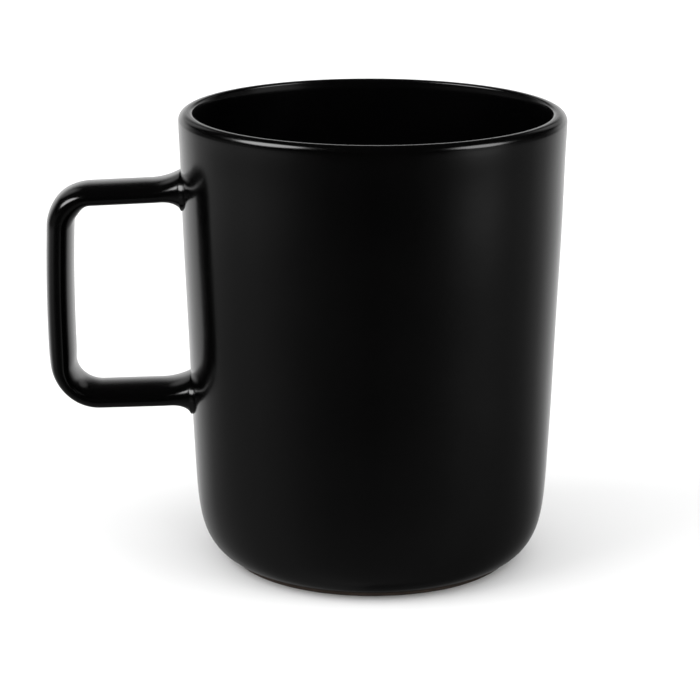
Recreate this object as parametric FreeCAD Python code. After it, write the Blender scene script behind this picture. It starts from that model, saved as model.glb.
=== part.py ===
import FreeCAD, Part
import os
import math

# Stoneware mug with a squared strap handle. Millimetres, +Z up.
# Origin: on the cup's axis, in the plane of the foot ring. The handle is on the -X side.

# ---- driving dimensions ----------------------------------------------------
HEIGHT = 102.4            # foot to lip
RIM_R = 43.0              # greatest outside radius, just under the lip
LIP_OUT = 1.9             # rounding of the lip, outside
LIP_IN = ((1.2, 35.0), (0.4, 74.0), (7.0, 90.0))   # inside of the lip, crest to wall:
                          # radius, and how far round (degrees) the lip has turned at its end
LIP_T = 3.4               # wall at the lip, glaze included
GLAZE = 0.3               # thickness of every glaze coat
GLAZE_EDGE_Z = 1.15       # the outside glaze stops this far above the table

# outside of the glazed wall: (height, radius)
WALL_OUT = [(95.3, 42.83), (82.0, 42.46), (66.6, 41.91), (51.2, 41.29), (35.9, 40.74),
            (25.6, 40.27), (17.4, 39.82), (11.27, 39.17), (6.15, 37.70), (3.6, 36.10),
            (2.1, 34.50)]
EDGE_R = 33.0            # outside radius where the glaze stops

# inside of the glazed wall: (height, radius)
WALL_IN = [(90.0, 39.36), (70.0, 38.72), (50.0, 38.02), (32.0, 37.28), (22.0, 36.46),
           (15.0, 34.86), (10.4, 32.10), (7.9, 28.40), (6.75, 24.00)]
FLOOR_Z = 6.35            # inside floor at the centre
FLOOR_FLAT_R = 16.0       # the inside floor is flat out to here

FOOT_OUT = 31.7           # bare foot ring, outside of its flat
FOOT_IN = 28.2            # bare foot ring, inside of its flat
FOOT_ROUND = 0.55         # rounding of the foot ring's outer corner
RECESS_Z = 1.7            # underside inside the foot ring
RECESS_R = 27.0           # radius where the recess reaches its full height

# handle: centreline in the X-Z plane, u measured outward from the axis
H_TOP_Z = 83.1            # upper bar, at the outer corner
H_LOW_Z = 36.7            # lower bar, at the outer corner
H_TOP_U = 69.7            # grip, at the upper corner
H_LOW_U = 69.9            # grip, at the lower corner
H_TOP_RISE = 0.052        # the upper bar climbs towards the cup by this slope
H_LOW_RISE = 0.036        # the lower bar climbs towards the cup by this slope
H_TOP_BEND = 7.0          # bend at the upper corner
H_LOW_BEND = 8.7          # bend at the lower corner
H_BOW = 0.31              # the grip bows outward by this much
H_WIDTH = 17.0            # strap, across
H_T_TOP = 4.6             # strap thickness, upper bar
H_T_UP = 6.2              # strap thickness, upper bend
H_T_GRIP = 5.9            # strap thickness, grip
H_T_DOWN = 4.7            # strap thickness, lower bend
H_T_LOW = 4.85            # strap thickness, lower bar
H_SQUARE = 2.25           # section roundness: 2 is an ellipse, larger is squarer
FLARE_UP = 1.9            # the strap's upper face climbs this much where it meets the wall,
FLARE_UP_L = 7.0          # over this length
FLARE_DOWN = 2.3          # its lower face drops this much where it meets the wall,
FLARE_DOWN_L = 4.4        # over this length
FLARE_W = 1.2             # extra half-width where it meets the wall,
FLARE_W_L = 5.2           # over this length
JOINT_L = 3.0             # the luted joint reaches this far out from the wall

V = FreeCAD.Vector


# ---- curves in the radial half-plane (x = radius, z = height) --------------
def spline(points):
    c = Part.BSplineCurve()
    c.interpolate([V(r, 0, z) for r, z in points])
    return c.toShape()


def clamped(xs, ys, d0, dn):
    """Second derivatives of the cubic spline through (xs, ys) with given end slopes."""
    n = len(xs)
    a, b, c, r = [0.0] * n, [0.0] * n, [0.0] * n, [0.0] * n
    h = [xs[i + 1] - xs[i] for i in range(n - 1)]
    b[0], c[0] = 2 * h[0], h[0]
    r[0] = 6 * ((ys[1] - ys[0]) / h[0] - d0)
    for i in range(1, n - 1):
        a[i], b[i], c[i] = h[i - 1], 2 * (h[i - 1] + h[i]), h[i]
        r[i] = 6 * ((ys[i + 1] - ys[i]) / h[i] - (ys[i] - ys[i - 1]) / h[i - 1])
    a[n - 1], b[n - 1] = h[-1], 2 * h[-1]
    r[n - 1] = 6 * (dn - (ys[-1] - ys[-2]) / h[-1])
    for i in range(1, n):
        m = a[i] / b[i - 1]
        b[i] -= m * c[i - 1]
        r[i] -= m * r[i - 1]
    out = [0.0] * n
    out[-1] = r[-1] / b[-1]
    for i in range(n - 2, -1, -1):
        out[i] = (r[i] - c[i] * out[i + 1]) / b[i]
    return out


def smooth_points(points, t0, t1, count):
    """The smooth curve through the points, sampled evenly along its length."""
    s = [0.0]
    for p, q in zip(points[:-1], points[1:]):
        s.append(s[-1] + math.hypot(q[0] - p[0], q[1] - p[1]))
    cols = []
    m0, m1 = math.hypot(*t0), math.hypot(*t1)
    for k in (0, 1):
        ys = [p[k] for p in points]
        cols.append((ys, clamped(s, ys, t0[k] / m0, t1[k] / m1)))
    out = []
    for i in range(count + 1):
        x = s[-1] * i / float(count)
        j = 0
        while j < len(s) - 2 and x > s[j + 1]:
            j += 1
        h = s[j + 1] - s[j]
        A, B = (s[j + 1] - x) / h, (x - s[j]) / h
        out.append(tuple(A * ys[j] + B * ys[j + 1]
                         + ((A ** 3 - A) * dd[j] + (B ** 3 - B) * dd[j + 1]) * h * h / 6
                         for ys, dd in cols))
    return out


def line(a, b):
    return Part.makeLine(V(a[0], 0, a[1]), V(b[0], 0, b[1]))


def arc(a, m, b):
    return Part.Arc(V(a[0], 0, a[1]), V(m[0], 0, m[1]), V(b[0], 0, b[1])).toShape()


def fillet_arc(centre, radius, a0, a1):
    p = [(centre[0] + radius * math.cos(math.radians(a)),
          centre[1] + radius * math.sin(math.radians(a))) for a in (a0, 0.5 * (a0 + a1), a1)]
    return arc(p[0], p[1], p[2])


def offset(points, d):
    """Move each point sideways by d, to the left of the walking direction."""
    out = []
    n = len(points)
    for i in range(n):
        a = points[max(i - 1, 0)]
        b = points[min(i + 1, n - 1)]
        p = points[i]
        if 0 < i < n - 1:
            # tangent of the circle through three neighbours, by weighted chords
            d1 = math.hypot(p[0] - a[0], p[1] - a[1])
            d2 = math.hypot(b[0] - p[0], b[1] - p[1])
            tx = (p[0] - a[0]) / d1 * d2 + (b[0] - p[0]) / d2 * d1
            tz = (p[1] - a[1]) / d1 * d2 + (b[1] - p[1]) / d2 * d1
        else:
            tx, tz = b[0] - a[0], b[1] - a[1]
        m = math.hypot(tx, tz)
        out.append((p[0] - tz / m * d, p[1] + tx / m * d))
    return out


def revolve(edges):
    wire = Part.Wire(Part.__sortEdges__(edges))
    face = Part.Face(wire)
    s = face.revolve(V(0, 0, 0), V(0, 0, 1), 360)
    if s.ShapeType != "Solid":
        s = s.Solids[0]
    if s.Volume < 0:
        s.reverse()
    return s


lip_c_out = (RIM_R - LIP_OUT, HEIGHT - LIP_OUT)                 # centre of the outer lip arc
LIP_IN_W = LIP_DROP = 0.0                                       # width and depth of the inner lip
_turned = 0.0
for _rad, _to in LIP_IN:
    LIP_IN_W += _rad * (math.sin(math.radians(_to)) - math.sin(math.radians(_turned)))
    LIP_DROP += _rad * (math.cos(math.radians(_turned)) - math.cos(math.radians(_to)))
    _turned = _to
crest_r0 = lip_c_out[0]                                         # crest, outer end
crest_r1 = RIM_R - LIP_T + LIP_IN_W                             # crest, inner end

# glaze surface, outside, walked upward
out_pts = [(EDGE_R, GLAZE_EDGE_Z)] + [(r, z) for z, r in reversed(WALL_OUT)] \
    + [(RIM_R, HEIGHT - LIP_OUT)]
out_fine = smooth_points(out_pts, (0.85, 0.53), (0.0, 1.0), 60)
out_curve = spline(out_fine)
# the clay runs parallel under the glaze
clay_out_pts = offset(out_fine, GLAZE)
clay_out_pts[-1] = (RIM_R - GLAZE, HEIGHT - LIP_OUT)
clay_out = spline(clay_out_pts)

# glaze surface, inside, walked outward along the floor and up
in_pts = [(FLOOR_FLAT_R, FLOOR_Z)] + [(r, z) for z, r in reversed(WALL_IN)] \
    + [(RIM_R - LIP_T, HEIGHT - LIP_DROP)]
in_fine = smooth_points(in_pts, (1.0, 0.0), (0.0, 1.0), 60)
in_curve = spline(in_fine)
clay_in_pts = offset(in_fine, -GLAZE)
clay_in_pts[0] = (FLOOR_FLAT_R, FLOOR_Z - GLAZE)
clay_in_pts[-1] = (RIM_R - LIP_T + GLAZE, HEIGHT - LIP_DROP)
clay_in = spline(clay_in_pts)

# lip arcs
glaze_lip_out = fillet_arc(lip_c_out, LIP_OUT, 0, 90)
clay_lip_out = fillet_arc(lip_c_out, LIP_OUT - GLAZE, 0, 90)


def inner_lip(inset):
    """Tangent arcs from the crest down to the inner wall, moved into the wall by inset."""
    edges, r, z, t0 = [], crest_r1, HEIGHT, 0.0
    for rad, t1 in LIP_IN:
        cr, cz = r + rad * math.sin(math.radians(t0)), z - rad * math.cos(math.radians(t0))
        p = []
        for w in (t0, 0.5 * (t0 + t1), t1):
            sw, cw = math.sin(math.radians(w)), math.cos(math.radians(w))
            p.append((cr - (rad - inset) * sw, cz + (rad - inset) * cw))
        edges.append(arc(p[0], p[1], p[2]))
        r, z = cr - rad * math.sin(math.radians(t1)), cz + rad * math.cos(math.radians(t1))
        t0 = t1
    return edges


glaze_lip_in = inner_lip(0.0)
clay_lip_in = inner_lip(GLAZE)

edge_clay = clay_out_pts[0]                    # clay surface under the glaze edge
foot_r0 = FOOT_OUT + FOOT_ROUND


# ---- clay cup: wall, floor and bare foot ring ------------------------------
def make_cup_body():
    e = []
    e.append(line((0, RECESS_Z), (RECESS_R, RECESS_Z)))
    e.append(line((RECESS_R, RECESS_Z), (FOOT_IN - 0.25, 0.25)))
    e.append(line((FOOT_IN - 0.25, 0.25), (FOOT_IN, 0)))
    e.append(line((FOOT_IN, 0), (FOOT_OUT, 0)))
    e.append(arc((FOOT_OUT, 0), (FOOT_OUT + FOOT_ROUND * 0.7071, FOOT_ROUND * 0.2929),
                 (foot_r0, FOOT_ROUND)))
    e.append(line((foot_r0, FOOT_ROUND), edge_clay))
    e.append(clay_out)
    e.append(clay_lip_out)
    if crest_r0 - crest_r1 > 1e-6:
        e.append(line((crest_r0, HEIGHT - GLAZE), (crest_r1, HEIGHT - GLAZE)))
    e += clay_lip_in
    e.append(clay_in)
    e.append(line((FLOOR_FLAT_R, FLOOR_Z - GLAZE), (0, FLOOR_Z - GLAZE)))
    e.append(line((0, FLOOR_Z - GLAZE), (0, RECESS_Z)))
    return revolve(e)


# ---- liner glaze -----------------------------------------------------------
def make_liner():
    e = [line((0, FLOOR_Z - GLAZE), (0, FLOOR_Z)), line((0, FLOOR_Z), (FLOOR_FLAT_R, FLOOR_Z)),
         in_curve] + glaze_lip_in
    if crest_r0 - crest_r1 > 1e-6:
        e.append(line((crest_r1, HEIGHT), (crest_r0, HEIGHT)))
        e.append(line((crest_r0, HEIGHT - GLAZE), (crest_r1, HEIGHT - GLAZE)))
    e += clay_lip_in
    e += [line((crest_r0, HEIGHT), (crest_r0, HEIGHT - GLAZE)), clay_in,
          line((FLOOR_FLAT_R, FLOOR_Z - GLAZE), (0, FLOOR_Z - GLAZE))]
    return revolve(e)


# ---- glaze in the recess under the cup -------------------------------------
def make_base_glaze():
    r = RECESS_R
    e = [line((0, RECESS_Z), (r, RECESS_Z)),
         line((r, RECESS_Z), (r - 0.5, RECESS_Z - GLAZE)),
         line((r - 0.5, RECESS_Z - GLAZE), (0, RECESS_Z - GLAZE)),
         line((0, RECESS_Z - GLAZE), (0, RECESS_Z))]
    return revolve(e)


# ---- solid blocks bounded by the outside of the clay, and of the glaze on it ----
def make_clay_block():
    e = [line((0, edge_clay[1]), edge_clay), clay_out, clay_lip_out,
         line((crest_r0, HEIGHT - GLAZE), (0, HEIGHT - GLAZE)),
         line((0, HEIGHT - GLAZE), (0, edge_clay[1]))]
    return revolve(e)


def make_glaze_block():
    e = [line((0, edge_clay[1]), edge_clay), line(edge_clay, (EDGE_R, GLAZE_EDGE_Z)),
         out_curve, glaze_lip_out,
         line((crest_r0, HEIGHT), (crest_r0, HEIGHT - GLAZE)),
         line((crest_r0, HEIGHT - GLAZE), (0, HEIGHT - GLAZE)),
         line((0, HEIGHT - GLAZE), (0, edge_clay[1]))]
    return revolve(e)


# ---- what the cup holds when full to the lip -------------------------------
def make_content():
    e = [line((0, FLOOR_Z), (FLOOR_FLAT_R, FLOOR_Z)), in_curve,
         line((crest_r1, HEIGHT), (0, HEIGHT)), line((0, HEIGHT), (0, FLOOR_Z))] + glaze_lip_in
    return revolve(e)


# ---- handle ----------------------------------------------------------------
def wall_r(z):
    pts = [(p[1], p[0]) for p in out_pts]
    for (z0, r0), (z1, r1) in zip(pts[:-1], pts[1:]):
        if z0 <= z <= z1:
            return r0 + (r1 - r0) * (z - z0) / (z1 - z0)
    return RIM_R


def bez(p0, p1, p2, p3, t):
    a = 1 - t
    return (a ** 3 * p0[0] + 3 * a * a * t * p1[0] + 3 * a * t * t * p2[0] + t ** 3 * p3[0],
            a ** 3 * p0[1] + 3 * a * a * t * p1[1] + 3 * a * t * t * p2[1] + t ** 3 * p3[1])


def path_points():
    """Stations on the centreline from the cup's wall (upper) round to the wall (lower)."""
    u_in = 38.0
    A = (u_in, H_TOP_Z + H_TOP_RISE * (H_TOP_U - u_in))
    B = (H_TOP_U, H_TOP_Z)
    C = (H_LOW_U, H_LOW_Z)
    D = (u_in, H_LOW_Z + H_LOW_RISE * (H_LOW_U - u_in))

    def unit(p, q):
        m = math.hypot(q[0] - p[0], q[1] - p[1])
        return ((q[0] - p[0]) / m, (q[1] - p[1]) / m)
    ba, bc, cb, cd = unit(B, A), unit(B, C), unit(C, B), unit(C, D)
    T0 = (B[0] + ba[0] * H_TOP_BEND, B[1] + ba[1] * H_TOP_BEND)
    T1 = (B[0] + bc[0] * H_TOP_BEND, B[1] + bc[1] * H_TOP_BEND)
    L0 = (C[0] + cb[0] * H_LOW_BEND, C[1] + cb[1] * H_LOW_BEND)
    L1 = (C[0] + cd[0] * H_LOW_BEND, C[1] + cd[1] * H_LOW_BEND)
    k = 0.5523

    def toward(p, q):
        return (p[0] + (q[0] - p[0]) * k, p[1] + (q[1] - p[1]) * k)
    pts = []
    # upper bar: close stations where the flare is, wide ones along the straight
    zt = A[1]
    uw = wall_r(zt)
    stops = [u_in, 40.5, uw - 1.2, uw - 0.5, uw, uw + 0.35, uw + 0.8, uw + 1.4, uw + 2.1,
             uw + JOINT_L, uw + 4.0, uw + 5.3, uw + 7.2, uw + 11.0, uw + 15.5]
    for u in stops:
        pts.append((u, A[1] + (T0[1] - A[1]) * (u - A[0]) / (T0[0] - A[0])))
    up_at = len(pts)                    # the upper bend starts at this station
    for i in range(0, 9):
        pts.append(bez(T0, toward(T0, B), toward(T1, B), T1, i / 8.0))
    for i in range(1, 7):
        s = i / 7.0
        pts.append((T1[0] + (L0[0] - T1[0]) * s + 4 * s * (1 - s) * H_BOW,
                    T1[1] + (L0[1] - T1[1]) * s))
    low_at = len(pts)                   # the lower bend starts at this station
    for i in range(0, 9):
        pts.append(bez(L0, toward(L0, C), toward(L1, C), L1, i / 8.0))
    uw = wall_r(D[1])
    stops = [u_in, 39.5, uw - 1.2, uw - 0.5, uw, uw + 0.35, uw + 0.8, uw + 1.4, uw + 2.1,
             uw + JOINT_L, uw + 4.0, uw + 5.3, uw + 7.2, uw + 11.0, uw + 15.0]
    for u in reversed(stops):
        pts.append((u, D[1] + (L1[1] - D[1]) * (u - D[0]) / (L1[0] - D[0])))
    return pts, up_at, low_at


PTS, UP_AT, LOW_AT = path_points()
RUN = [0.0]
for _p, _q in zip(PTS[:-1], PTS[1:]):
    RUN.append(RUN[-1] + math.hypot(_q[0] - _p[0], _q[1] - _p[1]))


def tangents(pts):
    out = []
    n = len(pts)
    for i in range(n):
        a, p, b = pts[max(i - 1, 0)], pts[i], pts[min(i + 1, n - 1)]
        if 0 < i < n - 1:
            d1 = math.hypot(p[0] - a[0], p[1] - a[1])
            d2 = math.hypot(b[0] - p[0], b[1] - p[1])
            t = ((p[0] - a[0]) / d1 * d2 + (b[0] - p[0]) / d2 * d1,
                 (p[1] - a[1]) / d1 * d2 + (b[1] - p[1]) / d2 * d1)
        else:
            t = (b[0] - a[0], b[1] - a[1])
        m = math.hypot(t[0], t[1])
        out.append((t[0] / m, t[1] / m))
    return out


def flare(d, size, length):
    """Concave flare, d being the distance from the wall."""
    s = 1.0 - max(d, 0.0) / length
    if s <= 0:
        return 0.0
    s = min(s, 0.985)
    return size * (1.0 - math.sqrt(1.0 - s * s)) / (1.0 - math.sqrt(1.0 - 0.985 ** 2))


def climb(d):
    """The gentler ramp of the upper face."""
    s = max(1.0 - max(d, 0.0) / FLARE_UP_L, 0.0)
    return FLARE_UP * s * s


def smooth(x):
    x = min(max(x, 0.0), 1.0)
    return x * x * (3 - 2 * x)


def thickness(up, low):
    """Strap thickness, from the distances walked past the start of each bend."""
    th = H_T_TOP + (H_T_UP - H_T_TOP) * smooth(up / 6.5)
    th += (H_T_GRIP - H_T_UP) * smooth((up - 3.1) / 10.5)
    th += (H_T_DOWN - H_T_GRIP) * smooth((low + 3.2) / 11.0)
    th += (H_T_LOW - H_T_DOWN) * smooth((low - 7.8) / 9.2)
    return th


def half_sizes(i, u, z, inset):
    a = thickness(RUN[i] - RUN[UP_AT], RUN[i] - RUN[LOW_AT]) / 2.0
    b = H_WIDTH / 2.0
    d = u - wall_r(z)
    a += 0.5 * (climb(d) + flare(d, FLARE_DOWN, FLARE_DOWN_L))
    b += flare(d + 0.9, FLARE_W, FLARE_W_L)
    return a - inset, b - inset


def section(u, z, t, a, b, count=24):
    """Poles of the closed section curve; every section has the same knots."""
    e = 2.0 / H_SQUARE
    n = (-t[1], t[0])
    pts = []
    for k in range(count):
        w = 2 * math.pi * k / count
        cw, sw = math.cos(w), math.sin(w)
        x = math.copysign(abs(cw) ** e, cw) * a
        y = math.copysign(abs(sw) ** e, sw) * b
        pts.append(V(-(u + n[0] * x), y, z + n[1] * x))
    c = Part.BSplineCurve()
    c.interpolate(Points=pts, PeriodicFlag=True,
                  Parameters=[float(k) for k in range(count + 1)])
    return c


def make_strap(inset):
    tg = tangents(PTS)
    curves = []
    for i, (u, z) in enumerate(PTS):
        a, b = half_sizes(i, u, z, inset)
        d = u - wall_r(z)
        lift = 0.5 * (climb(d) - flare(d, FLARE_DOWN, FLARE_DOWN_L))
        curves.append(section(u, z + lift, tg[i], a, b))
    around = [c.getPoles() for c in curves]
    cols = []
    for j in range(len(around[0])):
        c = Part.BSplineCurve()
        c.interpolate(Points=[row[j] for row in around], Parameters=RUN)
        cols.append(c)
    poles = [[c.getPole(i + 1) for c in cols] for i in range(cols[0].NbPoles)]
    surf = Part.BSplineSurface()
    surf.buildFromPolesMultsKnots(
        poles, cols[0].getMultiplicities(), curves[0].getMultiplicities(),
        cols[0].getKnots(), curves[0].getKnots(), False, True,
        cols[0].Degree, curves[0].Degree)
    side = surf.toShape()
    caps = [Part.Face(Part.Wire([c.toShape()])) for c in (curves[0], curves[-1])]
    shell = Part.makeShell([side] + caps)
    shell.sewShape()
    s = Part.makeSolid(shell)
    if s.Volume < 0:
        s.reverse()
    return s


def one(shape):
    ss = shape.Solids
    if len(ss) == 1:
        return ss[0]
    ss = sorted(ss, key=lambda q: -q.Volume)
    return ss[0]


os.makedirs("parts", exist_ok=True)

cup_body = make_cup_body()
liner = make_liner()
base_glaze = make_base_glaze()
clay_block = make_clay_block()
glaze_block = make_glaze_block()
strap_skin = make_strap(0.0)      # outside of the glaze
strap_clay = make_strap(GLAZE)    # clay under it

# clay outside the cup's own wall, split into the strap and its two luted joints
strap_out = one(strap_clay.cut(clay_block))
z_top_w = H_TOP_Z + H_TOP_RISE * (H_TOP_U - 42.0)
z_low_w = H_LOW_Z + H_LOW_RISE * (H_LOW_U - 42.0)
u_up = wall_r(z_top_w) + JOINT_L
u_lo = wall_r(z_low_w) + JOINT_L
z_mid = 0.5 * (z_top_w + z_low_w)
cut_up = Part.makeBox(u_up, 80, 60, V(-u_up, -40, z_mid))
cut_lo = Part.makeBox(u_lo, 80, 60, V(-u_lo, -40, z_mid - 60))
joint_upper = one(strap_out.common(cut_up))
joint_lower = one(strap_out.common(cut_lo))
handle = one(strap_out.cut(cut_up).cut(cut_lo))

# the outside glaze runs over the cup, the joints and the strap in one coat
outer_glaze = one(one(glaze_block.fuse(strap_skin)).cut(one(clay_block.fuse(strap_clay))))

parts = {
    "cup_body": cup_body,
    "liner_glaze": liner,
    "base_glaze": base_glaze,
    "outer_glaze": outer_glaze,
    "handle": handle,
    "handle_joint_upper": joint_upper,
    "handle_joint_lower": joint_lower,
}
for name, shape in parts.items():
    shape.exportStep(os.path.join("parts", name + ".step"))
    bb = shape.optimalBoundingBox(True, False)
    print("%-20s valid %s closed %s solids %d vol %.2f  x %.2f..%.2f y %.2f..%.2f z %.2f..%.2f" % (
        name, shape.isValid(), shape.isClosed(), len(shape.Solids), shape.Volume,
        bb.XMin, bb.XMax, bb.YMin, bb.YMax, bb.ZMin, bb.ZMax))
print("brimful ml %.1f" % (make_content().Volume / 1000.0))
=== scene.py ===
import bpy
import math
from mathutils import Matrix, Vector

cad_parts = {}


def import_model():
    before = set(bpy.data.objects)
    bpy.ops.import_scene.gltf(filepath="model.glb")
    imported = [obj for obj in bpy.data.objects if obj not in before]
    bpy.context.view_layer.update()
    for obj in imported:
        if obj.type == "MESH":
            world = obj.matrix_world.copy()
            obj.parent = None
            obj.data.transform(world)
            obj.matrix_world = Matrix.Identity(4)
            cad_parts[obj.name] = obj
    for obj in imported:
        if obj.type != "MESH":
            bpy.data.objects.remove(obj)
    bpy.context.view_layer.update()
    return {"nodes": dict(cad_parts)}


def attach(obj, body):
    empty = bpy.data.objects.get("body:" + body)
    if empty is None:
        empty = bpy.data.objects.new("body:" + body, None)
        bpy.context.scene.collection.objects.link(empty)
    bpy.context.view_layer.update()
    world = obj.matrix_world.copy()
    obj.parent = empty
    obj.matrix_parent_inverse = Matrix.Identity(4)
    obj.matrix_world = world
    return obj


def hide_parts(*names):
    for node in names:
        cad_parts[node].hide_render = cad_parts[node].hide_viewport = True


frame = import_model()

scene = bpy.context.scene
scene.view_settings.view_transform = "Standard"
scene.view_settings.look = "None"
scene.view_settings.exposure = 0.0
scene.view_settings.gamma = 1.0

MM = 0.001

# ---------------------------------------------------------------------------
# Dimensions, millimetres. The same numbers as the solid model.
# ---------------------------------------------------------------------------
HEIGHT = 102.4
RIM_R = 43.0
LIP_OUT = 1.9
LIP_IN = [(1.2, 35.0), (0.4, 74.0), (7.0, 90.0)]   # radius, turned to (degrees)
LIP_T = 3.4
GLAZE = 0.3
GLAZE_EDGE_Z = 1.15
WALL_OUT = [(95.3, 42.83), (82.0, 42.46), (66.6, 41.91), (51.2, 41.29), (35.9, 40.74),
            (25.6, 40.27), (17.4, 39.82), (11.27, 39.17), (6.15, 37.70), (3.6, 36.10),
            (2.1, 34.50)]
EDGE_R = 33.0
WALL_IN = [(90.0, 39.36), (70.0, 38.72), (50.0, 38.02), (32.0, 37.28), (22.0, 36.46),
           (15.0, 34.86), (10.4, 32.10), (7.9, 28.40), (6.75, 24.00)]
FLOOR_Z = 6.35
FLOOR_FLAT_R = 16.0
FOOT_OUT = 31.7
FOOT_IN = 28.2
FOOT_ROUND = 0.55
RECESS_Z = 1.7
RECESS_R = 27.0

H_TOP_Z, H_LOW_Z = 83.1, 36.7
H_TOP_U, H_LOW_U = 69.7, 69.9
H_TOP_RISE, H_LOW_RISE = 0.052, 0.036
H_TOP_BEND, H_LOW_BEND = 7.0, 8.7
H_BOW = 0.31
H_WIDTH = 17.0
H_T_TOP, H_T_UP, H_T_GRIP, H_T_DOWN, H_T_LOW = 4.6, 6.2, 5.9, 4.7, 4.85
H_SQUARE = 2.25
FLARE_UP, FLARE_UP_L = 1.9, 7.0
FLARE_DOWN, FLARE_DOWN_L = 2.3, 4.4
FLARE_W, FLARE_W_L = 1.2, 5.2

SEG = 192          # segments round the cup


# ---------------------------------------------------------------------------
# Curves
# ---------------------------------------------------------------------------
def clamped(xs, ys, d0, dn):
    n = len(xs)
    a, b, c, r = [0.0] * n, [0.0] * n, [0.0] * n, [0.0] * n
    h = [xs[i + 1] - xs[i] for i in range(n - 1)]
    b[0], c[0] = 2 * h[0], h[0]
    r[0] = 6 * ((ys[1] - ys[0]) / h[0] - d0)
    for i in range(1, n - 1):
        a[i], b[i], c[i] = h[i - 1], 2 * (h[i - 1] + h[i]), h[i]
        r[i] = 6 * ((ys[i + 1] - ys[i]) / h[i] - (ys[i] - ys[i - 1]) / h[i - 1])
    a[n - 1], b[n - 1] = h[-1], 2 * h[-1]
    r[n - 1] = 6 * (dn - (ys[-1] - ys[-2]) / h[-1])
    for i in range(1, n):
        m = a[i] / b[i - 1]
        b[i] -= m * c[i - 1]
        r[i] -= m * r[i - 1]
    out = [0.0] * n
    out[-1] = r[-1] / b[-1]
    for i in range(n - 2, -1, -1):
        out[i] = (r[i] - c[i] * out[i + 1]) / b[i]
    return out


def smooth_points(points, t0, t1, count):
    s = [0.0]
    for p, q in zip(points[:-1], points[1:]):
        s.append(s[-1] + math.hypot(q[0] - p[0], q[1] - p[1]))
    m0, m1 = math.hypot(*t0), math.hypot(*t1)
    cols = []
    for k in (0, 1):
        ys = [p[k] for p in points]
        cols.append((ys, clamped(s, ys, t0[k] / m0, t1[k] / m1)))
    out = []
    for i in range(count + 1):
        x = s[-1] * i / float(count)
        j = 0
        while j < len(s) - 2 and x > s[j + 1]:
            j += 1
        h = s[j + 1] - s[j]
        A, B = (s[j + 1] - x) / h, (x - s[j]) / h
        out.append(tuple(A * ys[j] + B * ys[j + 1]
                         + ((A ** 3 - A) * dd[j] + (B ** 3 - B) * dd[j + 1]) * h * h / 6
                         for ys, dd in cols))
    return out


def offset(points, d):
    out = []
    n = len(points)
    for i in range(n):
        a, p, b = points[max(i - 1, 0)], points[i], points[min(i + 1, n - 1)]
        if 0 < i < n - 1:
            d1 = math.hypot(p[0] - a[0], p[1] - a[1])
            d2 = math.hypot(b[0] - p[0], b[1] - p[1])
            tx = (p[0] - a[0]) / d1 * d2 + (b[0] - p[0]) / d2 * d1
            tz = (p[1] - a[1]) / d1 * d2 + (b[1] - p[1]) / d2 * d1
        else:
            tx, tz = b[0] - a[0], b[1] - a[1]
        m = math.hypot(tx, tz)
        out.append((p[0] - tz / m * d, p[1] + tx / m * d))
    return out


def arc(cx, cz, r, a0, a1, n, skip_first=False):
    pts = []
    for i in range(1 if skip_first else 0, n + 1):
        w = math.radians(a0 + (a1 - a0) * i / n)
        pts.append((cx + r * math.cos(w), cz + r * math.sin(w)))
    return pts


def lip_arcs(inset):
    """Inner side of the lip from the wall up to the crest, moved into the wall by inset."""
    pts, z, r, t0 = [], HEIGHT, RIM_R - LIP_T + LIP_IN_W, 0.0
    for rad, t1 in LIP_IN:
        cz, cr = z - rad * math.cos(math.radians(t0)), r + rad * math.sin(math.radians(t0))
        n = 3 + int((t1 - t0) / 4)
        for i in range(n + 1):
            w = math.radians(t0 + (t1 - t0) * i / n)
            if i or not pts:
                pts.append((cr - (rad - inset) * math.sin(w), cz + (rad - inset) * math.cos(w)))
        z, r = cz + rad * math.cos(w), cr - rad * math.sin(w)
        t0 = t1
    return list(reversed(pts))


LIP_IN_W = LIP_DROP = 0.0
turned = 0.0
for rad_, to_ in LIP_IN:
    LIP_IN_W += rad_ * (math.sin(math.radians(to_)) - math.sin(math.radians(turned)))
    LIP_DROP += rad_ * (math.cos(math.radians(turned)) - math.cos(math.radians(to_)))
    turned = to_

out_pts = [(EDGE_R, GLAZE_EDGE_Z)] + [(r, z) for z, r in reversed(WALL_OUT)] \
    + [(RIM_R, HEIGHT - LIP_OUT)]
out_fine = smooth_points(out_pts, (0.85, 0.53), (0.0, 1.0), 72)
clay_out = offset(out_fine, GLAZE)
clay_out[-1] = (RIM_R - GLAZE, HEIGHT - LIP_OUT)

in_pts = [(FLOOR_FLAT_R, FLOOR_Z)] + [(r, z) for z, r in reversed(WALL_IN)] \
    + [(RIM_R - LIP_T, HEIGHT - LIP_DROP)]
in_fine = smooth_points(in_pts, (1.0, 0.0), (0.0, 1.0), 64)
clay_in = offset(in_fine, -GLAZE)
clay_in[0] = (FLOOR_FLAT_R, FLOOR_Z - GLAZE)
clay_in[-1] = (RIM_R - LIP_T + GLAZE, HEIGHT - LIP_DROP)

co = (RIM_R - LIP_OUT, HEIGHT - LIP_OUT)


# ---------------------------------------------------------------------------
# Mesh building
# ---------------------------------------------------------------------------
def new_object(name, verts, faces, smooth=True):
    me = bpy.data.meshes.new(name)
    me.from_pydata([(x * MM, y * MM, z * MM) for x, y, z in verts], [], faces)
    me.validate()
    me.update()
    ob = bpy.data.objects.new(name, me)
    scene.collection.objects.link(ob)
    if smooth:
        me.shade_smooth()
    return ob


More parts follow.
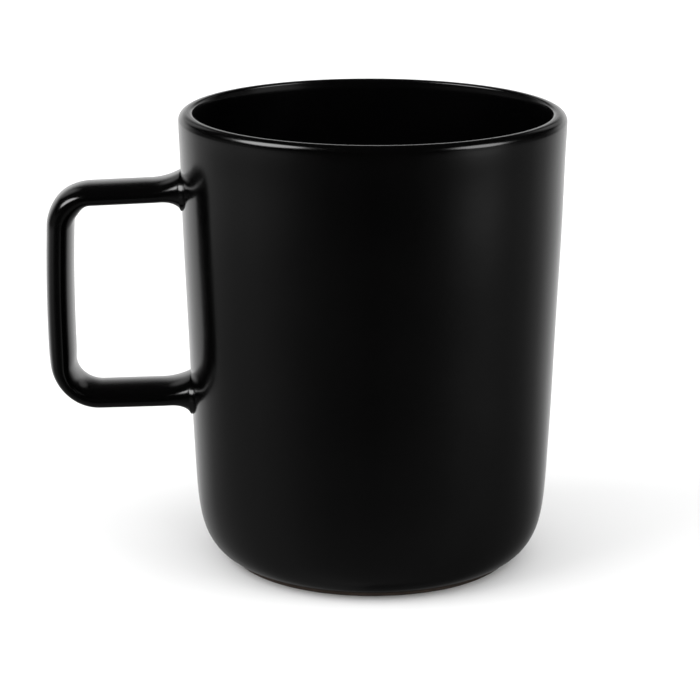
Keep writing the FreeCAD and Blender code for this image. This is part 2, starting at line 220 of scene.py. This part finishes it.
def lathe(name, loop, closed=True, seg=SEG, phase=0.0):
    """Turns a profile round Z. Points on the axis become one vertex each."""
    verts, faces, rings = [], [], []
    for r, z in loop:
        if r < 1e-6:
            rings.append([len(verts)])
            verts.append((0.0, 0.0, z))
        else:
            ring = []
            for k in range(seg):
                w = 2 * math.pi * k / seg + phase
                ring.append(len(verts))
                verts.append((r * math.cos(w), r * math.sin(w), z))
            rings.append(ring)
    pairs = list(zip(rings[:-1], rings[1:]))
    if closed:
        pairs.append((rings[-1], rings[0]))
    for a, b in pairs:
        if len(a) == 1 and len(b) == 1:
            continue
        for k in range(seg):
            k2 = (k + 1) % seg
            if len(a) == 1:
                faces.append((a[0], b[k2], b[k]))
            elif len(b) == 1:
                faces.append((a[k], a[k2], b[0]))
            else:
                faces.append((a[k], a[k2], b[k2], b[k]))
    return new_object(name, verts, faces)


def mark_sharp(ob, degrees):
    """Edges sharper than this shade as edges; everything else stays smooth."""
    import bmesh
    bm = bmesh.new()
    bm.from_mesh(ob.data)
    lim = math.radians(degrees)
    for e in bm.edges:
        if len(e.link_faces) == 2 and e.calc_face_angle(0.0) > lim:
            e.smooth = False
    bmesh.ops.recalc_face_normals(bm, faces=bm.faces)
    bm.to_mesh(ob.data)
    bm.free()


# --- clay cup: wall, floor and bare foot ring
foot = [(0.0, RECESS_Z), (RECESS_R * 0.5, RECESS_Z), (RECESS_R, RECESS_Z),
        (RECESS_R + 0.25, RECESS_Z - 0.2), (FOOT_IN - 0.42, 0.42), (FOOT_IN - 0.22, 0.14),
        (FOOT_IN + 0.15, 0.0), (0.5 * (FOOT_IN + FOOT_OUT), 0.0)]
foot += arc(FOOT_OUT, FOOT_ROUND, FOOT_ROUND, -90, 0, 6)
foot += [(FOOT_OUT + FOOT_ROUND + 0.1, 0.85)]
clay_loop = foot + clay_out + arc(co[0], co[1], LIP_OUT - GLAZE, 0, 90, 6, True) \
    + list(reversed(lip_arcs(GLAZE))) + list(reversed(clay_in))[1:] \
    + [(0.0, FLOOR_Z - GLAZE)]
clay = lathe("cup_clay", clay_loop, closed=False)
mark_sharp(clay, 40)

# --- outer glaze on the cup: a closed skin with a rounded lower edge
edge_in = clay_out[0]
bead_c = (0.5 * (edge_in[0] + EDGE_R), 0.5 * (edge_in[1] + GLAZE_EDGE_Z))
ta = math.atan2(GLAZE_EDGE_Z - edge_in[1], EDGE_R - edge_in[0])
bead = []
for i in range(1, 6):
    w = ta - math.pi * i / 6.0
    bead.append((bead_c[0] + 0.5 * GLAZE * math.cos(w), bead_c[1] + 0.5 * GLAZE * math.sin(w)))
skin_loop = list(reversed(bead)) + out_fine + arc(co[0], co[1], LIP_OUT, 0, 90, 12, True) \
    + [(co[0], HEIGHT - GLAZE)] \
    + list(reversed(arc(co[0], co[1], LIP_OUT - GLAZE, 0, 84, 6, True))) \
    + list(reversed(clay_out))
outer = lathe("outer_glaze_cup", skin_loop)
mark_sharp(outer, 60)

# --- liner glaze
liner_loop = [(0.0, FLOOR_Z), (FLOOR_FLAT_R * 0.5, FLOOR_Z)] + in_fine \
    + lip_arcs(0.0)[1:] + [(co[0], HEIGHT)]
liner_loop += [(co[0], HEIGHT - GLAZE)] \
    + list(reversed(lip_arcs(GLAZE)))[:-1] + list(reversed(clay_in)) + [(0.0, FLOOR_Z - GLAZE)]
liner = lathe("liner_glaze_coat", liner_loop, closed=False)
mark_sharp(liner, 60)

# --- glaze in the recess under the cup
base_loop = [(0.0, RECESS_Z - GLAZE), (14.0, RECESS_Z - GLAZE), (24.0, RECESS_Z - GLAZE),
             (RECESS_R - 0.9, RECESS_Z - GLAZE + 0.01), (RECESS_R - 0.45, RECESS_Z - GLAZE + 0.06),
             (RECESS_R - 0.15, RECESS_Z - 0.12), (RECESS_R - 0.02, RECESS_Z), (0.0, RECESS_Z)]
base = lathe("base_glaze_disc", base_loop, closed=False)
mark_sharp(base, 60)


# --- handle
def wall_r(z):
    pts = out_fine
    for (r0, z0), (r1, z1) in zip(pts[:-1], pts[1:]):
        if z0 <= z <= z1:
            return r0 + (r1 - r0) * (z - z0) / (z1 - z0)
    return RIM_R


def bez(p0, p1, p2, p3, t):
    a = 1 - t
    return tuple(a ** 3 * p0[k] + 3 * a * a * t * p1[k] + 3 * a * t * t * p2[k] + t ** 3 * p3[k]
                 for k in (0, 1))


def strap_path():
    u_in = 40.6
    A = (u_in, H_TOP_Z + H_TOP_RISE * (H_TOP_U - u_in))
    B = (H_TOP_U, H_TOP_Z)
    C = (H_LOW_U, H_LOW_Z)
    D = (u_in, H_LOW_Z + H_LOW_RISE * (H_LOW_U - u_in))

    def unit(p, q):
        m = math.hypot(q[0] - p[0], q[1] - p[1])
        return ((q[0] - p[0]) / m, (q[1] - p[1]) / m)
    ba, bc, cb, cd = unit(B, A), unit(B, C), unit(C, B), unit(C, D)
    T0 = (B[0] + ba[0] * H_TOP_BEND, B[1] + ba[1] * H_TOP_BEND)
    T1 = (B[0] + bc[0] * H_TOP_BEND, B[1] + bc[1] * H_TOP_BEND)
    L0 = (C[0] + cb[0] * H_LOW_BEND, C[1] + cb[1] * H_LOW_BEND)
    L1 = (C[0] + cd[0] * H_LOW_BEND, C[1] + cd[1] * H_LOW_BEND)
    k = 0.5523

    def toward(p, q):
        return (p[0] + (q[0] - p[0]) * k, p[1] + (q[1] - p[1]) * k)
    pts = []

    def bar(p, q, uw):
        # distances from the wall: close together in the flare
        ds = [-1.6, -1.0, -0.6, -0.3, -0.1, 0.05, 0.15, 0.25, 0.4, 0.55, 0.75, 1.0, 1.3, 1.65,
              2.05, 2.5, 3.0, 3.55, 4.15, 4.8, 5.6, 6.6, 8.0, 10.0, 12.5, 15.0]
        out = []
        for d in ds:
            u = uw + d
            f = (u - p[0]) / (q[0] - p[0])
            if f < 0.985:
                out.append((u, p[1] + (q[1] - p[1]) * f))
        return out
    pts += bar(A, T0, wall_r(A[1]))
    up_at = len(pts)
    pts += [bez(T0, toward(T0, B), toward(T1, B), T1, i / 16.0) for i in range(17)]
    for i in range(1, 16):
        s = i / 16.0
        pts.append((T1[0] + (L0[0] - T1[0]) * s + 4 * s * (1 - s) * H_BOW,
                    T1[1] + (L0[1] - T1[1]) * s))
    low_at = len(pts)
    pts += [bez(L0, toward(L0, C), toward(L1, C), L1, i / 18.0) for i in range(19)]
    pts += list(reversed(bar(D, L1, wall_r(D[1]))))
    return pts, up_at, low_at


def flare(d, size, length):
    s = 1.0 - max(d, 0.0) / length
    if s <= 0:
        return 0.0
    s = min(s, 0.985)
    return size * (1.0 - math.sqrt(1.0 - s * s)) / (1.0 - math.sqrt(1.0 - 0.985 ** 2))


def climb(d):
    s = max(1.0 - max(d, 0.0) / FLARE_UP_L, 0.0)
    return FLARE_UP * s * s


def smooth01(x):
    x = min(max(x, 0.0), 1.0)
    return x * x * (3 - 2 * x)


def strap(name, inset, around=56):
    P, up_at, low_at = strap_path()
    n = len(P)
    run = [0.0]
    for p, q in zip(P[:-1], P[1:]):
        run.append(run[-1] + math.hypot(q[0] - p[0], q[1] - p[1]))
    verts, faces = [], []
    e = 2.0 / H_SQUARE
    for i, (u, z) in enumerate(P):
        a_, p_, b_ = P[max(i - 1, 0)], P[i], P[min(i + 1, n - 1)]
        if 0 < i < n - 1:
            d1 = math.hypot(p_[0] - a_[0], p_[1] - a_[1])
            d2 = math.hypot(b_[0] - p_[0], b_[1] - p_[1])
            tu = (p_[0] - a_[0]) / d1 * d2 + (b_[0] - p_[0]) / d2 * d1
            tz = (p_[1] - a_[1]) / d1 * d2 + (b_[1] - p_[1]) / d2 * d1
        else:
            tu, tz = b_[0] - a_[0], b_[1] - a_[1]
        m = math.hypot(tu, tz)
        tu, tz = tu / m, tz / m
        nu, nz = -tz, tu
        up, low = run[i] - run[up_at], run[i] - run[low_at]
        th = H_T_TOP + (H_T_UP - H_T_TOP) * smooth01(up / 6.5)
        th += (H_T_GRIP - H_T_UP) * smooth01((up - 3.1) / 10.5)
        th += (H_T_DOWN - H_T_GRIP) * smooth01((low + 3.2) / 11.0)
        th += (H_T_LOW - H_T_DOWN) * smooth01((low - 7.8) / 9.2)
        d = u - wall_r(z)
        up_by, down_by = climb(d), flare(d, FLARE_DOWN, FLARE_DOWN_L)
        z += 0.5 * (up_by - down_by)
        ha = th / 2 + 0.5 * (up_by + down_by) - inset
        hb = H_WIDTH / 2 + flare(d + 0.9, FLARE_W, FLARE_W_L) - inset
        for k in range(around):
            w = 2 * math.pi * k / around
            cw, sw = math.cos(w), math.sin(w)
            px = math.copysign(abs(cw) ** e, cw) * ha
            py = math.copysign(abs(sw) ** e, sw) * hb
            verts.append((-(u + nu * px), py, z + nz * px))
    for i in range(n - 1):
        for k in range(around):
            k2 = (k + 1) % around
            faces.append((i * around + k, i * around + k2,
                          (i + 1) * around + k2, (i + 1) * around + k))
    faces.append(tuple(range(around)))
    faces.append(tuple(reversed(range((n - 1) * around, n * around))))
    ob = new_object(name, verts, faces)
    mark_sharp(ob, 60)
    return ob


handle = strap("outer_glaze_handle", 0.0)


# ---------------------------------------------------------------------------
# Materials
# ---------------------------------------------------------------------------
def material(name):
    m = bpy.data.materials.new(name)
    m.use_nodes = True
    nt = m.node_tree
    nt.nodes.clear()
    out = nt.nodes.new("ShaderNodeOutputMaterial")
    bsdf = nt.nodes.new("ShaderNodeBsdfPrincipled")
    nt.links.new(bsdf.outputs["BSDF"], out.inputs["Surface"])
    coord = nt.nodes.new("ShaderNodeTexCoord")
    return m, nt, bsdf, coord


def noise(nt, coord, scale, detail=3.0, rough=0.5, distort=0.0):
    n = nt.nodes.new("ShaderNodeTexNoise")
    n.inputs["Scale"].default_value = scale
    n.inputs["Detail"].default_value = detail
    n.inputs["Roughness"].default_value = rough
    n.inputs["Distortion"].default_value = distort
    nt.links.new(coord.outputs["Object"], n.inputs["Vector"])
    return n


def ramp(nt, fac, stops):
    r = nt.nodes.new("ShaderNodeValToRGB")
    els = r.color_ramp.elements
    while len(els) > 1:
        els.remove(els[-1])
    els[0].position = stops[0][0]
    els[0].color = stops[0][1]
    for p, c in stops[1:]:
        e = els.new(p)
        e.color = c
    nt.links.new(fac, r.inputs["Fac"])
    return r


def map_range(nt, value, a, b, c, d):
    m = nt.nodes.new("ShaderNodeMapRange")
    m.inputs["From Min"].default_value = a
    m.inputs["From Max"].default_value = b
    m.inputs["To Min"].default_value = c
    m.inputs["To Max"].default_value = d
    nt.links.new(value, m.inputs["Value"])
    return m


def maths(nt, op, a, b):
    m = nt.nodes.new("ShaderNodeMath")
    m.operation = op
    for i, v in enumerate((a, b)):
        if isinstance(v, (int, float)):
            m.inputs[i].default_value = v
        else:
            nt.links.new(v, m.inputs[i])
    return m


def g(v):
    return (v, v, v, 1.0)


def satin_glaze():
    m, nt, b, co_ = material("satin_black_glaze")
    b.inputs["IOR"].default_value = 1.5
    b.inputs["Specular IOR Level"].default_value = 0.5
    # colour: almost black, a little warmer and lighter where the coat thins
    cloud = noise(nt, co_, 55.0, 4.0, 0.55)
    colour = ramp(nt, cloud.outputs["Fac"], [
        (0.30, (0.00020, 0.00020, 0.00022, 1)), (0.70, (0.00042, 0.00040, 0.00039, 1))])
    speck = noise(nt, co_, 2600.0, 1.0, 0.4)
    speck_mask = ramp(nt, speck.outputs["Fac"], [(0.70, g(0.0)), (0.78, g(1.0))])
    mix = nt.nodes.new("ShaderNodeMixRGB")
    mix.inputs["Color2"].default_value = (0.0018, 0.0017, 0.0016, 1)
    nt.links.new(colour.outputs["Color"], mix.inputs["Color1"])
    nt.links.new(speck_mask.outputs["Color"], mix.inputs["Fac"])
    nt.links.new(mix.outputs["Color"], b.inputs["Base Color"])
    # gloss: satin, with faint drifts and a fine grain
    grain = noise(nt, co_, 1500.0, 2.0, 0.5)
    r1 = map_range(nt, cloud.outputs["Fac"], 0.3, 0.7, 0.145, 0.185)
    r2 = map_range(nt, grain.outputs["Fac"], 0.3, 0.7, -0.012, 0.012)
    rr = maths(nt, "ADD", r1.outputs["Result"], r2.outputs["Result"])
    nt.links.new(rr.outputs["Value"], b.inputs["Roughness"])
    # surface: fine orange peel over a slow unevenness
    peel = noise(nt, co_, 900.0, 2.0, 0.5)
    slow = noise(nt, co_, 120.0, 2.0, 0.5)
    h1 = maths(nt, "MULTIPLY", peel.outputs["Fac"], 0.10)
    h2 = maths(nt, "MULTIPLY", slow.outputs["Fac"], 0.90)
    h = maths(nt, "ADD", h1.outputs["Value"], h2.outputs["Value"])
    bump = nt.nodes.new("ShaderNodeBump")
    bump.inputs["Strength"].default_value = 0.35
    bump.inputs["Distance"].default_value = 0.00006
    nt.links.new(h.outputs["Value"], bump.inputs["Height"])
    nt.links.new(bump.outputs["Normal"], b.inputs["Normal"])
    return m


def gloss_glaze():
    m, nt, b, co_ = material("gloss_black_liner")
    b.inputs["IOR"].default_value = 1.5
    b.inputs["Specular IOR Level"].default_value = 0.5
    cloud = noise(nt, co_, 40.0, 3.0, 0.5)
    colour = ramp(nt, cloud.outputs["Fac"], [
        (0.30, (0.00025, 0.00025, 0.00030, 1)), (0.70, (0.00050, 0.00050, 0.00056, 1))])
    nt.links.new(colour.outputs["Color"], b.inputs["Base Color"])
    r1 = map_range(nt, cloud.outputs["Fac"], 0.3, 0.7, 0.15, 0.21)
    nt.links.new(r1.outputs["Result"], b.inputs["Roughness"])
    slow = noise(nt, co_, 90.0, 2.0, 0.5)
    bump = nt.nodes.new("ShaderNodeBump")
    bump.inputs["Strength"].default_value = 0.25
    bump.inputs["Distance"].default_value = 0.00008
    nt.links.new(slow.outputs["Fac"], bump.inputs["Height"])
    nt.links.new(bump.outputs["Normal"], b.inputs["Normal"])
    return m


def bare_clay():
    m, nt, b, co_ = material("bare_stoneware")
    b.inputs["Specular IOR Level"].default_value = 0.3
    cloud = noise(nt, co_, 180.0, 4.0, 0.6)
    colour = ramp(nt, cloud.outputs["Fac"], [
        (0.28, (0.028, 0.020, 0.015, 1)), (0.55, (0.042, 0.030, 0.023, 1)),
        (0.80, (0.062, 0.046, 0.036, 1))])
    grit = nt.nodes.new("ShaderNodeTexVoronoi")
    grit.inputs["Scale"].default_value = 1900.0
    nt.links.new(co_.outputs["Object"], grit.inputs["Vector"])
    dots = ramp(nt, grit.outputs["Distance"], [(0.06, g(1.0)), (0.22, g(0.0))])
    mix = nt.nodes.new("ShaderNodeMixRGB")
    mix.inputs["Color2"].default_value = (0.014, 0.010, 0.008, 1)
    nt.links.new(colour.outputs["Color"], mix.inputs["Color1"])
    dim = maths(nt, "MULTIPLY", dots.outputs["Color"], 0.7)
    nt.links.new(dim.outputs["Value"], mix.inputs["Fac"])
    nt.links.new(mix.outputs["Color"], b.inputs["Base Color"])
    r1 = map_range(nt, cloud.outputs["Fac"], 0.3, 0.7, 0.72, 0.90)
    nt.links.new(r1.outputs["Result"], b.inputs["Roughness"])
    fine = noise(nt, co_, 2400.0, 3.0, 0.6)
    hh = maths(nt, "ADD", fine.outputs["Fac"], grit.outputs["Distance"])
    bump = nt.nodes.new("ShaderNodeBump")
    bump.inputs["Strength"].default_value = 0.6
    bump.inputs["Distance"].default_value = 0.00008
    nt.links.new(hh.outputs["Value"], bump.inputs["Height"])
    nt.links.new(bump.outputs["Normal"], b.inputs["Normal"])
    return m


M_SATIN, M_GLOSS, M_CLAY = satin_glaze(), gloss_glaze(), bare_clay()


def dress(ob, mat, slot_name, *nodes):
    ob.data.materials.clear()
    ob.data.materials.append(mat)
    if nodes:
        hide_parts(*nodes)
    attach(ob, "root")


dress(clay, M_CLAY, "bare_clay", "cup_body")
dress(outer, M_SATIN, "satin_glaze", "outer_glaze")
dress(handle, M_SATIN, "satin_glaze", "outer_glaze")
dress(liner, M_GLOSS, "gloss_glaze", "liner_glaze")
dress(base, M_SATIN, "satin_glaze", "base_glaze")

for name in ("handle", "handle_joint_upper", "handle_joint_lower"):
    ob = frame["nodes"][name]
    for s in ob.material_slots:
        s.material = M_CLAY

# ---------------------------------------------------------------------------
# Stage: floor, world, lights
# ---------------------------------------------------------------------------
ALPHA = math.radians(0.0)       # the handle is turned this much towards the camera


def floor():
    me = bpy.data.meshes.new("floor")
    s = 6.0
    me.from_pydata([(-s, -s, 0), (s, -s, 0), (s, s, 0), (-s, s, 0)], [], [(0, 1, 2, 3)])
    ob = bpy.data.objects.new("floor", me)
    scene.collection.objects.link(ob)
    m = bpy.data.materials.new("pale_floor")
    m.use_nodes = True
    nt = m.node_tree
    nt.nodes.clear()
    out = nt.nodes.new("ShaderNodeOutputMaterial")
    dif = nt.nodes.new("ShaderNodeBsdfDiffuse")
    tc = nt.nodes.new("ShaderNodeTexCoord")
    far = nt.nodes.new("ShaderNodeVectorMath")
    far.operation = "LENGTH"
    nt.links.new(tc.outputs["Object"], far.inputs[0])
    # painted light: the floor colour rises from 0.80 near the cup to 0.94 far away, standing in
    # for light that falls off across the far floor
    pale = map_range(nt, far.outputs["Value"], 0.25, 0.50, 0.80, 0.94)   # paler far away
    pale.interpolation_type = "SMOOTHSTEP"
    nt.links.new(pale.outputs["Result"], dif.inputs["Color"])
    nt.links.new(dif.outputs["BSDF"], out.inputs["Surface"])
    me.materials.append(m)
    ob.visible_glossy = False
    return ob


floor()

WORLD_FILL = 1.13      # light on the floor and on matte surfaces


def at(deg):
    return 0.5 + deg / 360.0


# brightness seen in the glaze by compass direction, 0 straight behind, + to the right;
# one row per elevation, from the floor close to the cup up to the horizon
DOWN = [(-180, .115), (-149, .13), (-110, .155), (-81, .13), (-55, .115), (-30, .10), (-14, .08),
        (0, .045), (14, .045), (30, .05), (55, .05), (81, .07), (110, .09), (149, .11),
        (180, .115)]
NEAR = [(-180, .10), (-154, .11), (-136, .14), (-119, .18), (-102, .18), (-85, .18), (-69, .19),
        (-52, .23), (-36, .31), (-25, .30), (-12, .21), (0, .13), (12, .15), (25, .18), (36, .14),
        (52, .10), (69, .09), (85, .10), (102, .11), (119, .13), (136, .12), (154, .11),
        (180, .10)]
MIDDLE = [(-180, .045), (-155, .07), (-138, .10), (-121, .145), (-104, .175), (-88, .165),
          (-71, .18), (-54, .23), (-39, .43), (-22, .52), (-6, .50), (6, .47), (22, .36),
          (39, .20), (55, .125), (71, .10), (88, .11), (104, .14), (121, .135), (138, .095),
          (155, .065), (180, .045)]
FAR = [(-180, .025), (-155, .05), (-138, .085), (-121, .14), (-105, .185), (-88, .18),
       (-72, .17), (-55, .32), (-39, .68), (-23, .98), (-7, 1.0), (7, .95), (23, .80), (39, .54),
       (55, .25), (72, .15), (88, .15), (105, .18), (121, .16), (138, .085), (155, .045),
       (180, .025)]
EDGE = [(-180, .018), (-155, .035), (-138, .12), (-122, .30), (-105, .40), (-89, .35),
        (-73, .40), (-56, .47), (-40, .83), (-24, 1.02), (-8, 1.0), (8, 1.0), (24, .95),
        (40, .74), (56, .40), (73, .20), (89, .20), (105, .50), (122, .46), (138, .12),
        (155, .03), (180, .018)]
SKY = [(-180, .006), (-150, .02), (-125, .10), (-95, .12), (-75, .08), (-58, .04), (-46, .25),
       (-36, .80), (-20, 1.0), (20, 1.0), (36, .80), (46, .25), (58, .04), (75, .08), (95, .12),
       (125, .10), (150, .02), (180, .006)]
HIGH = [(-180, .004), (180, .004)]
BANDS = [(-56, DOWN), (-28, NEAR), (-21, MIDDLE), (-17.5, FAR), (-11, EDGE), (-3.5, SKY), (7, SKY),
         (18, HIGH)]
# soft boxes seen only in the glaze: compass direction, elevation, radius, edge, brightness
BOXES = [(-97, 47, 13, 7, 8.0), (104, 37, 11, 7, 5.5), (113, 6, 8, 16, 0.35),
         (-25, 23, 4, 8, 0.35), (25, 23, 4, 8, 0.35)]


def world():
    w = bpy.data.worlds.new("studio")
    scene.world = w
    w.use_nodes = True
    nt = w.node_tree
    nt.nodes.clear()
    out = nt.nodes.new("ShaderNodeOutputWorld")
    lp = nt.nodes.new("ShaderNodeLightPath")

    def background(strength):
        n = nt.nodes.new("ShaderNodeBackground")
        n.inputs["Color"].default_value = (1, 1, 1, 1)
        n.inputs["Strength"].default_value = strength
        return n
    bg_cam, bg_fill, bg = background(1.05), background(WORLD_FILL), background(1.0)
    mix1 = nt.nodes.new("ShaderNodeMixShader")
    mix2 = nt.nodes.new("ShaderNodeMixShader")
    nt.links.new(lp.outputs["Is Glossy Ray"], mix1.inputs["Fac"])
    nt.links.new(bg_fill.outputs["Background"], mix1.inputs[1])
    nt.links.new(bg.outputs["Background"], mix1.inputs[2])
    nt.links.new(lp.outputs["Is Camera Ray"], mix2.inputs["Fac"])
    nt.links.new(mix1.outputs["Shader"], mix2.inputs[1])
    nt.links.new(bg_cam.outputs["Background"], mix2.inputs[2])
    nt.links.new(mix2.outputs["Shader"], out.inputs["Surface"])

    tc = nt.nodes.new("ShaderNodeTexCoord")
    sep = nt.nodes.new("ShaderNodeSeparateXYZ")
    nt.links.new(tc.outputs["Generated"], sep.inputs["Vector"])
    ca, sa = math.cos(ALPHA), math.sin(ALPHA)

    def op(kind, a, b=0.0):
        return maths(nt, kind, a, b).outputs["Value"]
    x = op("SUBTRACT", op("MULTIPLY", sep.outputs["X"], ca), op("MULTIPLY", sep.outputs["Y"], sa))
    y = op("ADD", op("MULTIPLY", sep.outputs["X"], sa), op("MULTIPLY", sep.outputs["Y"], ca))
    z = sep.outputs["Z"]
    ang = op("ARCTAN2", x, y)
    t = map_range(nt, ang, -math.pi, math.pi, 0.0, 1.0).outputs["Result"]
    total, last = None, None
    for el, table in BANDS:
        zs = math.sin(math.radians(el))
        colour = ramp(nt, t, [(at(d), g(v)) for d, v in table]).outputs["Color"]
        if total is None:
            total, last = colour, zs
            continue
        step = map_range(nt, z, last, zs, 0.0, 1.0)
        mix = nt.nodes.new("ShaderNodeMixRGB")
        nt.links.new(step.outputs["Result"], mix.inputs["Fac"])
        nt.links.new(total, mix.inputs["Color1"])
        nt.links.new(colour, mix.inputs["Color2"])
        total, last = mix.outputs["Color"], zs
    for az, el, rad, edge, val in BOXES:
        a_, e_ = math.radians(az), math.radians(el)
        d = (math.sin(a_) * math.cos(e_), math.cos(a_) * math.cos(e_), math.sin(e_))
        dot = op("ADD", op("ADD", op("MULTIPLY", x, d[0]), op("MULTIPLY", y, d[1])),
                 op("MULTIPLY", z, d[2]))
        m = map_range(nt, dot, math.cos(math.radians(rad + edge)), math.cos(math.radians(rad)),
                      0.0, val)
        m.interpolation_type = "SMOOTHSTEP"
        add = nt.nodes.new("ShaderNodeMixRGB")
        add.blend_type = "ADD"
        add.inputs["Fac"].default_value = 1.0
        nt.links.new(total, add.inputs["Color1"])
        nt.links.new(m.outputs["Result"], add.inputs["Color2"])
        total = add.outputs["Color"]
    nt.links.new(total, bg.inputs["Color"])
    w.cycles.sampling_method = "MANUAL"
    w.cycles.sample_map_resolution = 1024
    return w


world()


def area(name, az, el, dist, size, power):
    """A soft box that lights the floor; az is 0 behind, + to the right of the camera's view."""
    li = bpy.data.lights.new(name, "AREA")
    li.shape = "RECTANGLE"
    li.size = li.size_y = size
    li.energy = power
    ob = bpy.data.objects.new(name, li)
    scene.collection.objects.link(ob)
    a, e = math.radians(az) - ALPHA, math.radians(el)
    pos = Vector((math.sin(a) * math.cos(e), math.cos(a) * math.cos(e), math.sin(e))) * dist
    ob.location = pos
    ob.rotation_euler = (Vector((0, 0, 0.03)) - pos).to_track_quat("-Z", "Y").to_euler()
    ob.visible_glossy = False
    return ob


area("soft_left", -115, 38, 0.9, 0.7, 5.8)
area("soft_right", 115, 38, 0.9, 0.7, 3.5)

# ---------------------------------------------------------------------------
# Camera
# ---------------------------------------------------------------------------
EL, PITCH, YAW, ROLL = 0.2630369, 0.0061780, 0.0083315, 0.0022020
DIST = 14.171535 * 43.0 * MM
HZ = 0.5 * 2.382564 * 43.0 * MM
F_PX = 2694.866


def camera():
    C = Vector((0, -DIST * math.cos(EL), HZ + DIST * math.sin(EL)))
    fw = Vector((0, math.cos(EL + PITCH), -math.sin(EL + PITCH)))
    cy, sy = math.cos(YAW), math.sin(YAW)
    fw = Vector((fw.x * cy - fw.y * sy, fw.x * sy + fw.y * cy, fw.z))
    right = fw.cross(Vector((0, 0, 1))).normalized()
    up = right.cross(fw)
    cr, sr = math.cos(ROLL), math.sin(ROLL)
    r2 = right * cr + up * sr
    u2 = -right * sr + up * cr
    turn = Matrix.Rotation(-ALPHA, 4, "Z")
    cam = bpy.data.cameras.new("camera")
    cam.sensor_width = 36.0
    cam.sensor_fit = "HORIZONTAL"
    cam.lens = F_PX * 36.0 / 700.0
    cam.clip_start = 0.01
    cam.clip_end = 50.0
    ob = bpy.data.objects.new("camera", cam)
    scene.collection.objects.link(ob)
    m = Matrix(((r2.x, u2.x, -fw.x, C.x), (r2.y, u2.y, -fw.y, C.y),
                (r2.z, u2.z, -fw.z, C.z), (0, 0, 0, 1)))
    ob.matrix_world = turn @ m
    scene.camera = ob
    return ob


camera()
